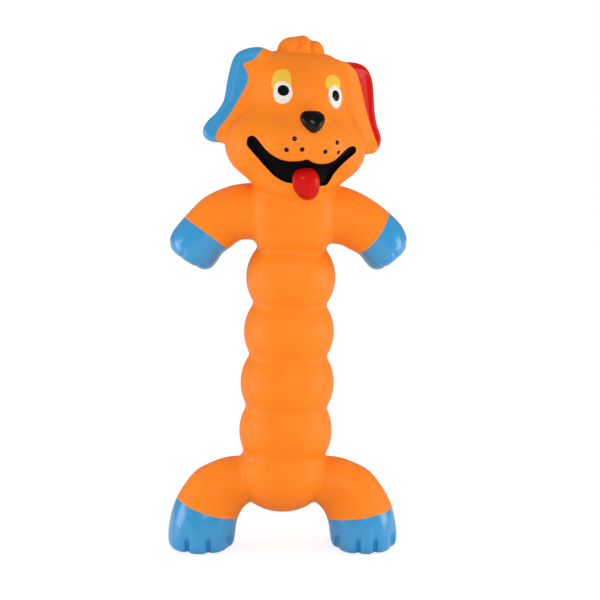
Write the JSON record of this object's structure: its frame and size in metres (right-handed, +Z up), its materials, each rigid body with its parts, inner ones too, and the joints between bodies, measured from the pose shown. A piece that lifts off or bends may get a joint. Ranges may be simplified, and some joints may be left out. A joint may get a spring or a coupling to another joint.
{
  "type": "squeaky dog toy",
  "caption": "Upright latex dog toy with a lobed body that bends, painted paws and ears, a tongue and a squeaker set in its back.",
  "frame": {"origin": "middle of the toy's box at the level of its soles", "axes": "+Z up along the body, the toy looks along -Y, its left side is +X"},
  "size_m": [0.1198, 0.064, 0.2511],
  "materials": {
    "latex_orange": "soft satin latex",
    "paint_blue": "gloss latex paint",
    "paint_red": "gloss latex paint",
    "paint_black": "satin latex paint",
    "paint_white": "satin latex paint",
    "paint_yellow": "satin latex paint",
    "fibre_fill": "loose polyester fibre",
    "squeaker_plastic": "moulded",
    "reed_film": "thin film"
  },
  "bodies": {
    "hips": {"hips_skin": "latex_orange", "hips_filling": "fibre_fill"},
    "leg_right": {"right_leg": "latex_orange", "right_foot": "paint_blue"},
    "leg_left": {"left_leg": "latex_orange", "left_foot": "paint_blue"},
    "lobe_1": {"lobe_1_skin": "latex_orange", "lobe_1_filling": "fibre_fill"},
    "lobe_2": {"lobe_2_skin": "latex_orange", "lobe_2_filling": "fibre_fill"},
    "lobe_3": {"lobe_3_skin": "latex_orange", "lobe_3_filling": "fibre_fill"},
    "lobe_4": {"lobe_4_skin": "latex_orange", "lobe_4_filling": "fibre_fill"},
    "chest": {"chest_skin": "latex_orange", "chest_filling": "fibre_fill", "squeaker_cup": "squeaker_plastic", "squeaker_cap": "squeaker_plastic", "reed_seat": "squeaker_plastic", "reed_clamp": "squeaker_plastic"},
    "squeaker_reed": {"reed": "reed_film"},
    "arm_right": {"right_arm": "latex_orange", "right_front_paw": "paint_blue"},
    "arm_left": {"left_arm": "latex_orange", "left_front_paw": "paint_blue"},
    "head": {"head_skin": "latex_orange", "head_filling": "fibre_fill", "hair_tuft": "latex_orange", "right_eye": "paint_white", "left_eye": "paint_white", "right_pupil": "paint_black", "left_pupil": "paint_black", "right_eyelid": "paint_yellow", "left_eyelid": "paint_yellow", "mouth_lining": "paint_black", "tongue": "paint_red", "nose": "paint_black"},
    "ear_right": {"right_ear": "paint_blue"},
    "ear_left": {"left_ear": "paint_red"}
  },
  "joints": [
    {"name": "bend_1_sideways", "type": "hinge", "parent": "hips", "child": "lobe_1", "pos_m": [-0.0021, 0.00347, 0.05889], "axis": [0.0018, 1, 0.0011], "range_deg": [-9, 9], "stiffness_Nm_per_rad": 1.5},
    {"name": "bend_2_forward", "type": "hinge", "parent": "lobe_1", "child": "lobe_2", "pos_m": [-0.00126, 0.00347, 0.08297], "axis": [0.9994, 0, -0.0349], "range_deg": [-9, 9], "stiffness_Nm_per_rad": 1.5},
    {"name": "bend_3_sideways", "type": "hinge", "parent": "lobe_2", "child": "lobe_3", "pos_m": [-0.00037, 0.00347, 0.10836], "axis": [0.0018, 1, 0.0011], "range_deg": [-9, 9], "stiffness_Nm_per_rad": 1.5},
    {"name": "bend_4_forward", "type": "hinge", "parent": "lobe_3", "child": "lobe_4", "pos_m": [0.00056, 0.00347, 0.13504], "axis": [0.9994, 0, -0.0349], "range_deg": [-9, 9], "stiffness_Nm_per_rad": 1.5},
    {"name": "bend_5_sideways", "type": "hinge", "parent": "lobe_4", "child": "chest", "pos_m": [0.00146, 0.00347, 0.16092], "axis": [0.0018, 1, 0.0011], "range_deg": [-7, 7], "stiffness_Nm_per_rad": 1.5},
    {"name": "head_nod", "type": "hinge", "parent": "chest", "child": "head", "pos_m": [0.00266, 0.00347, 0.18592], "axis": [0.9715, 0.2243, -0.0767], "range_deg": [-7, 5], "stiffness_Nm_per_rad": 1.5},
    {"name": "right_arm_bend", "type": "hinge", "parent": "chest", "child": "arm_right", "pos_m": [-0.01454, 0.00347, 0.16592], "axis": [0.0018, 1, 0.0011], "range_deg": [-7, 9], "stiffness_Nm_per_rad": 0.9},
    {"name": "left_arm_bend", "type": "hinge", "parent": "chest", "child": "arm_left", "pos_m": [0.01746, 0.00347, 0.16592], "axis": [0.0018, 1, 0.0011], "range_deg": [-9, 7], "stiffness_Nm_per_rad": 0.9},
    {"name": "right_leg_bend", "type": "hinge", "parent": "hips", "child": "leg_right", "pos_m": [-0.01886, 0.00347, 0.032], "axis": [0.0018, 1, 0.0011], "range_deg": [-9, 9], "stiffness_Nm_per_rad": 1.2},
    {"name": "left_leg_bend", "type": "hinge", "parent": "hips", "child": "leg_left", "pos_m": [0.01314, 0.00347, 0.032], "axis": [0.0018, 1, 0.0011], "range_deg": [-9, 9], "stiffness_Nm_per_rad": 1.2},
    {"name": "right_ear_flap", "type": "hinge", "parent": "head", "child": "ear_right", "pos_m": [-0.02799, -0.00288, 0.20518], "axis": [0.3371, 0.0761, 0.9384], "range_deg": [-7, 7], "stiffness_Nm_per_rad": 0.1},
    {"name": "left_ear_flap", "type": "hinge", "parent": "head", "child": "ear_left", "pos_m": [0.03551, 0.01178, 0.20017], "axis": [-0.1925, -0.0462, 0.9802], "range_deg": [-7, 7], "stiffness_Nm_per_rad": 0.1},
    {"name": "reed_tremble", "type": "hinge", "parent": "chest", "child": "squeaker_reed", "pos_m": [0.00146, 0.01652, 0.16242], "axis": [1, 0.0016, -0.0012], "range_deg": [-2, 2], "stiffness_Nm_per_rad": 0.0001}
  ]
}
